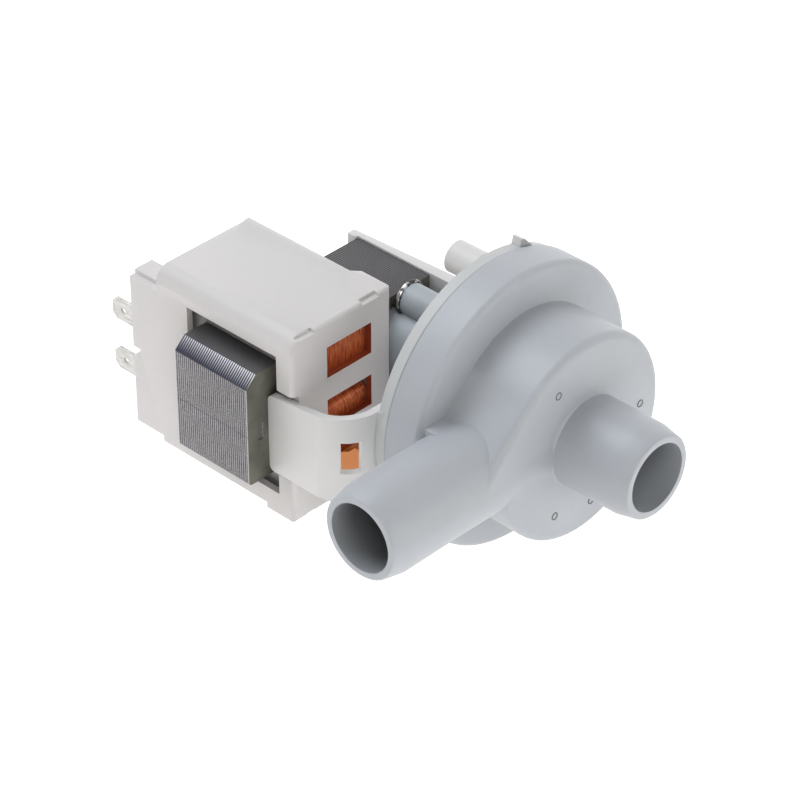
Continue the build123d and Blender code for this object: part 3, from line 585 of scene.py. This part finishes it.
core_colour = top_colour
for mask, colour in (
    (outer_face, cut_colour),
    (painted_edge_highlight, (0.42, 0.42, 0.42, 1.0)),
    (painted_edge_shade, (0.035, 0.035, 0.045, 1.0)),
    (plain_strip, (0.088, 0.085, 0.090, 1.0)),
    (weld, (0.05, 0.05, 0.055, 1.0)),
    (slanted_face, slant_colour),
    (end_face, oxide_colour),
):
    core_colour = mixed(core_tree, mask, core_colour, colour)
smooth_face = calc(core_tree, "MAXIMUM", end_face, plain_strip)
sheet_relief = product(core_tree, sheet_wave, calc(core_tree, "SUBTRACT", 1.0, smooth_face))
core_tree.links.new(core_colour, core_shader["Base Color"])
core_tree.links.new(spread(core_tree, oxide, 0.36, 0.55), core_shader["Roughness"])
core_tree.links.new(
    bump(core_tree, sheet_relief, depth=0.00005, strength=0.6), core_shader["Normal"])
moulded("stator_core", core_steel, edge=0.00012)

# Coil box
# White moulding that is pushed over both coils, open on the pole side.
# The edges of its windows are thin and carry a painted reflection of the copper behind them, or of the
# tape in the lowest row.
box_front_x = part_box("coil_cover")[1][0]
box_top_z = 0.0266
box_inner_y = -0.0175
ridge_top_z = 0.0287
ridge_near_y = -0.0188
ridge_end_x = -0.0835
ridge_front_run = 0.0070
ridge_rear_run = 0.0035
ridge_end_run = 0.0065
near_enough = 0.00005
window_low_y = -0.0356
window_high_y = -0.0201
window_pitch = 0.0152
window_half_height = 0.0046
window_front_depth = 0.0004
window_back_depth = 0.0016


def soft_ridge(shape):
    """Let the box's top rise gently to its far ridge, which runs out on the frame in front."""
    for corner in shape.verts:
        x, y, z = corner.co
        on_top = abs(z - box_top_z) < near_enough
        at_end = abs(x - ridge_end_x) < near_enough
        if on_top and abs(y - ridge_near_y) < near_enough:
            corner.co.y -= ridge_front_run if at_end else ridge_rear_run
            corner.co.x += ridge_end_run if at_end else 0.0
        elif on_top and at_end and abs(y - box_inner_y) < near_enough:
            corner.co.z = ridge_top_z


cover_white = plastic("cover_white", (0.72, 0.705, 0.71), (0.66, 0.645, 0.635), roughness=0.42)
# Painted reflections of the copper and the tape, put on the edges of the box's windows.
copper_painted_reflection = plastic(
    "copper_painted_reflection", (0.36, 0.065, 0.025), (0.14, 0.025, 0.012), roughness=0.3, grain=1200.0)
tape_painted_reflection = plastic("tape_painted_reflection", (0.85, 0.45, 0.18), (0.75, 0.36, 0.13), roughness=0.4)
cover = moulded("coil_cover", cover_white, edge=0.0005, change=soft_ridge)
cover.data.materials.append(copper_painted_reflection)
cover.data.materials.append(tape_painted_reflection)
for face in cover.data.polygons:
    x, y, z = face.center
    row = max(-1, min(1, round(z / window_pitch)))
    in_wall = window_front_depth < box_front_x - x < window_back_depth
    beside_window = (
        window_low_y < y < window_high_y and abs(z - row * window_pitch) < window_half_height)
    if in_wall and beside_window:
        face.material_index = 2 if row < 0 else 1

# Bobbins
# Grey glass-filled plastic formers on the legs of the core, mostly hidden in the box.
bobbin_grey = plastic("bobbin_grey", (0.44, 0.43, 0.425), (0.36, 0.35, 0.34), roughness=0.45)
for bobbin in ("upper_bobbin", "lower_bobbin"):
    moulded(bobbin, bobbin_grey, edge=0.0002)

# Windings
# Enamelled copper wire, wound in layers on each bobbin. The outer layer is one fine wire.
copper = metal_wear_and_reflections(
    "enamelled_copper", metallic=0.45,
    streaks={"scale": 260.0, "detail": 3.0, "stretch": (1.0, 9.0, 1.0)},
    colours=(0.3, (0.55, 0.07, 0.02), 0.7, (1.0, 0.36, 0.13)), roughness=(0.25, 0.45),
    coat=0.4, coat_roughness=0.15)
for bulk in ("upper_winding", "lower_winding"):
    moulded(bulk, copper)


def winding_tree():
    """One wire wound round a rounded rectangle, turn beside turn along the leg of the core."""
    tree, given = new_group(
        "fine winding", "GeometryNodeTree",
        {
            "Turns": "Int",
            "Points per turn": "Int",
            "Half width": "Float",
            "Half height": "Float",
            "Length": "Float",
            "Wire radius": "Float",
            "Wire sides": "Int",
            "Stray": "Float",
            "Start": "Vector",
            "Material": "Material",
        },
        {"Geometry": "Geometry"})
    line = add(tree, "GeometryNodeMeshLine", {
        "Count": calc(tree, "MULTIPLY", given["Turns"], given["Points per turn"])})
    number = add(tree, "GeometryNodeInputIndex").outputs["Index"]
    turn = calc(tree, "DIVIDE", number, given["Points per turn"])
    angle = calc(tree, "MULTIPLY", turn, 2 * pi)
    across = calc(tree, "COSINE", angle)
    up = calc(tree, "SINE", angle)
    # A high power of the cosine and the sine squares the circle into a rounded rectangle.
    power = 7.0
    squared = calc(
        tree, "ADD", calc(tree, "POWER", calc(tree, "ABSOLUTE", across), power),
        calc(tree, "POWER", calc(tree, "ABSOLUTE", up), power))
    size = calc(tree, "POWER", squared, 1 / power)
    # Each half turn lies a little out of line with the last.
    half_turn = calc(tree, "FLOOR", calc(tree, "MULTIPLY", turn, 2.0))
    chance = add(
        tree, "FunctionNodeRandomValue", {"Seed": 7, "ID": half_turn}, data_type="FLOAT").outputs[1]
    stray = product(tree, calc(tree, "SUBTRACT", chance, 0.5), given["Stray"])
    x = product(tree, calc(tree, "DIVIDE", across, size), given["Half width"])
    y = product(tree, calc(tree, "DIVIDE", turn, given["Turns"]), given["Length"])
    z = product(tree, calc(tree, "DIVIDE", up, size), given["Half height"])
    place = add(tree, "ShaderNodeCombineXYZ", {
        "X": calc(tree, "ADD", x, stray), "Y": y, "Z": calc(tree, "ADD", z, stray)})
    shifted = add(tree, "ShaderNodeVectorMath", {0: place.outputs["Vector"], 1: given["Start"]})
    moved = add(tree, "GeometryNodeSetPosition", {
        "Geometry": line.outputs["Mesh"], "Position": shifted.outputs["Vector"]})
    curve = add(tree, "GeometryNodeMeshToCurve", {"Mesh": moved.outputs["Geometry"]})
    section = add(tree, "GeometryNodeCurvePrimitiveCircle", {
        "Resolution": given["Wire sides"], "Radius": given["Wire radius"]})
    wire = add(tree, "GeometryNodeCurveToMesh", {
        "Curve": curve.outputs["Curve"], "Profile Curve": section.outputs["Curve"],
        "Fill Caps": True})
    hand_out(tree, wire.outputs["Mesh"], given["Material"])
    return tree


fine_winding = winding_tree()
wire_radius = 0.00019
wire_gap = 0.0001
leg_x = (core_low[0] + core_high[0]) / 2
for turns_node in ("upper_winding_turns", "lower_winding_turns"):
    low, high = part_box(turns_node)
    fine_turns = grown(
        turns_node + "_fine", [(0.0, 0.0, 0.0)], fine_winding,
        {
            "Turns": 62,
            "Points per turn": 56,
            "Half width": high[0] - leg_x - wire_radius - wire_gap,
            "Half height": (high[2] - low[2]) / 2 - wire_radius - wire_gap,
            "Length": high[1] - low[1] - 2 * wire_radius,
            "Wire radius": wire_radius,
            "Wire sides": 6,
            "Stray": 0.00008,
            "Start": (leg_x, low[1] + wire_radius, (low[2] + high[2]) / 2),
            "Material": copper,
        })
    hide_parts(turns_node)

# Insulating tape
# Orange polyester film, folded round the lower coil, with a flap that hangs down in front and one
# that is stuck down outside the box, over its lowest window.
tape_orange = plastic(
    "tape_orange", (0.88, 0.31, 0.075), (0.80, 0.26, 0.055), roughness=0.25, grain=900.0)
moulded("insulating_tape", tape_orange)
flap_thickness = 0.00015
# Corners of the flap as y and z.
flap_outline = [
    (-0.0330, -0.0225), (-0.0225, -0.0225), (-0.0225, -0.0170), (-0.0248, -0.0163),
    (-0.0263, -0.0146), (-0.0287, -0.0145), (-0.0302, -0.0135), (-0.0330, -0.0132),
]
flap_count = len(flap_outline)
flap_sides = [
    (corner, (corner + 1) % flap_count, (corner + 1) % flap_count + flap_count, corner + flap_count)
    for corner in range(flap_count)
]
flap_mesh = bpy.data.meshes.new("insulating_tape_flap")
flap_mesh.from_pydata(
    [(box_front_x + x, y, z) for x in (0.0, flap_thickness) for y, z in flap_outline], [],
    [tuple(reversed(range(flap_count))), tuple(range(flap_count, 2 * flap_count)), *flap_sides])
flap_mesh.materials.append(tape_orange)
tape_flap = in_scene("insulating_tape_flap", flap_mesh)
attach(tape_flap, "pump_body")

# Thermal protector and leads
# Small sealed cut-out behind the lower coil, and the sleeved wires to the tabs.
protector_black = plastic("protector_black", (0.03, 0.03, 0.03), (0.05, 0.05, 0.05), roughness=0.35)
lead_red = plastic("lead_red", (0.45, 0.04, 0.03), (0.35, 0.03, 0.02), roughness=0.4)
moulded("thermal_protector", protector_black, edge=0.0003)
moulded("coil_leads", lead_red)

# Blade terminals
# Tinned brass tabs, blanked from sheet, with a locking hole.
tab_tin = metal_wear_and_reflections(
    "tab_tin", metallic=0.85, streaks={"scale": 300.0, "stretch": (1.0, 1.0, 12.0)},
    colours=(0.3, (0.42, 0.42, 0.41), 0.7, (0.66, 0.66, 0.64)), roughness=(0.28, 0.45))
for tab in ("upper_terminal", "lower_terminal"):
    moulded(tab, tab_tin, edge=0.0001)

# Wet side of the motor
# Seal, bearing plate, bushes, rotor and impeller. The impeller and its clip show, down the inlet.
rubber_black = plastic("rubber_black", (0.02, 0.02, 0.02), (0.035, 0.035, 0.035), roughness=0.6)
plate_black = plastic("plate_black", (0.05, 0.05, 0.055), (0.07, 0.07, 0.07), roughness=0.4)
bush_grey = plastic("bush_grey", (0.12, 0.12, 0.125), (0.16, 0.16, 0.16), roughness=0.3)
magnet_black = plastic("magnet_black", (0.035, 0.035, 0.038), (0.06, 0.06, 0.06), roughness=0.5)
sleeve_white = plastic("sleeve_white", (0.6, 0.6, 0.57), (0.5, 0.5, 0.48), roughness=0.4)
washer_brown = plastic("washer_brown", (0.25, 0.14, 0.07), (0.2, 0.11, 0.05), roughness=0.45)
impeller_grey = plastic("impeller_grey", (0.25, 0.26, 0.27), (0.2, 0.21, 0.22), roughness=0.4)
impeller_edge = 0.00015
for node, slot_name, finish in (
    ("housing_seal", "seal_rubber", rubber_black),
    ("rear_bush_mount", "seal_rubber", rubber_black),
    ("bearing_plate", "plate_plastic", plate_black),
    ("front_bush", "bush_ceramic", bush_grey),
    ("rear_bush", "bush_ceramic", bush_grey),
    ("rotor_magnet", "magnet_ferrite", magnet_black),
    ("rotor_sleeve", "sleeve_plastic", sleeve_white),
    ("coupling_dog", "sleeve_plastic", sleeve_white),
    ("front_thrust_washer", "washer_plastic", washer_brown),
    ("rear_thrust_washer", "washer_plastic", washer_brown),
    ("impeller", "impeller_plastic", impeller_grey),
    ("rotor_shaft", "shaft_steel", tab_tin),
    ("impeller_clip", "shaft_steel", tab_tin),
):
    moulded(node, finish, edge=impeller_edge if node == "impeller" else 0.0)

# Floor
# Plain pale sheet just under the pump. The camera sees it as white, less the pump's shadow.
floor_gap = 0.0002
floor_reach = 1.5
floor_glow_seen = 0.75
floor_glow_otherwise = 0.66
floor_z = cad_low[2] - floor_gap
floor_mesh = bpy.data.meshes.new("floor")
floor_mesh.from_pydata(
    [(x * floor_reach, y * floor_reach, floor_z) for x, y in ((-1, -1), (1, -1), (1, 1), (-1, 1))],
    [], [(0, 1, 2, 3)])
floor_white, floor_tree, floor_shader = new_material("floor_white")
floor_shader["Base Color"].default_value = (0.8, 0.8, 0.8, 1.0)
floor_shader["Roughness"].default_value = 0.9
floor_shader["Specular IOR Level"].default_value = 0.0
floor_seen = add(floor_tree, "ShaderNodeLightPath").outputs["Is Camera Ray"]
floor_glow = add(floor_tree, "ShaderNodeEmission", {
    "Color": (1.0, 0.965, 0.93, 1.0),
    "Strength": spread(floor_tree, floor_seen, floor_glow_otherwise, floor_glow_seen)})
floor_sum = add(floor_tree, "ShaderNodeAddShader", {
    0: floor_tree.nodes["Principled BSDF"].outputs["BSDF"], 1: floor_glow.outputs["Emission"]})
floor_tree.links.new(
    floor_sum.outputs["Shader"], floor_tree.nodes["Material Output"].inputs["Surface"])
floor_mesh.materials.append(floor_white)
in_scene("floor", floor_mesh)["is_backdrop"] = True

# Light
# Pale surroundings, bright behind the pump and dim in front, seen as white by the camera and in
# reflections. Broad soft lamps stand above, before the inlet and over the camera.
camera_side = Vector((0.56447, -0.59003, 0.57735))
pump_middle = Vector((-0.06, -0.02, 0.0))
sky_behind = 1.24
sky_in_front = 0.0
sky_white = 1.12
world = bpy.data.worlds.new("studio")
bpy.context.scene.world = world
world.use_nodes = True
world_tree = world.node_tree
sky = world_tree.nodes["Background"].inputs
sky["Color"].default_value = (1.0, 0.97, 0.925, 1.0)
sky_direction = add(world_tree, "ShaderNodeTexCoord").outputs["Generated"]
sky_side = add(
    world_tree, "ShaderNodeVectorMath", {0: sky_direction, 1: camera_side},
    operation="DOT_PRODUCT").outputs["Value"]
sky_glow = spread(world_tree, sky_side, sky_behind, sky_in_front, start=-0.5, end=0.5)
sky_rays = add(world_tree, "ShaderNodeLightPath").outputs
sky_seen = calc(
    world_tree, "MAXIMUM", sky_rays["Is Camera Ray"],
    calc(world_tree, "MAXIMUM", sky_rays["Is Glossy Ray"], sky_rays["Is Transmission Ray"]))
sky_strength = add(
    world_tree, "ShaderNodeMix", {0: sky_seen, 2: sky_glow, 3: sky_white},
    data_type="FLOAT").outputs[0]
world_tree.links.new(sky_strength, sky["Strength"])


def soft_lamp(name, place, size, power, colour):
    """Square area lamp at a place, turned to the middle of the pump."""
    lamp = bpy.data.lights.new(name, "AREA")
    lamp.size = size
    lamp.energy = power
    lamp.color = colour
    holder = in_scene(name, lamp)
    holder.location = place
    holder.rotation_euler = (pump_middle - Vector(place)).to_track_quat("-Z", "Y").to_euler()


soft_lamp("top_lamp", (-0.70, -0.20, 1.20), size=0.9, power=10.6, colour=(0.90, 0.935, 1.0))
soft_lamp(
    "inlet_side_lamp", (1.15, 0.35, 0.12), size=0.8, power=4.8, colour=(1.0, 0.985, 0.975))
soft_lamp(
    "camera_side_lamp", (0.70, -0.60, 0.90), size=0.8, power=4.75, colour=(1.0, 0.98, 0.93))

# Camera
# The photograph's view: from the outlet side and the front, well above the pump.
camera_data = bpy.data.cameras.new("camera")
camera_data.sensor_width = 36.0
camera_data.lens = 148.82
camera = in_scene("camera", camera_data)
camera.location = (0.38714, -0.49197, 0.46295)
camera.rotation_euler = camera_side.to_track_quat("Z", "Y").to_euler()
bpy.context.scene.camera = camera
bpy.context.scene.view_settings.view_transform = "Standard"

low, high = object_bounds()
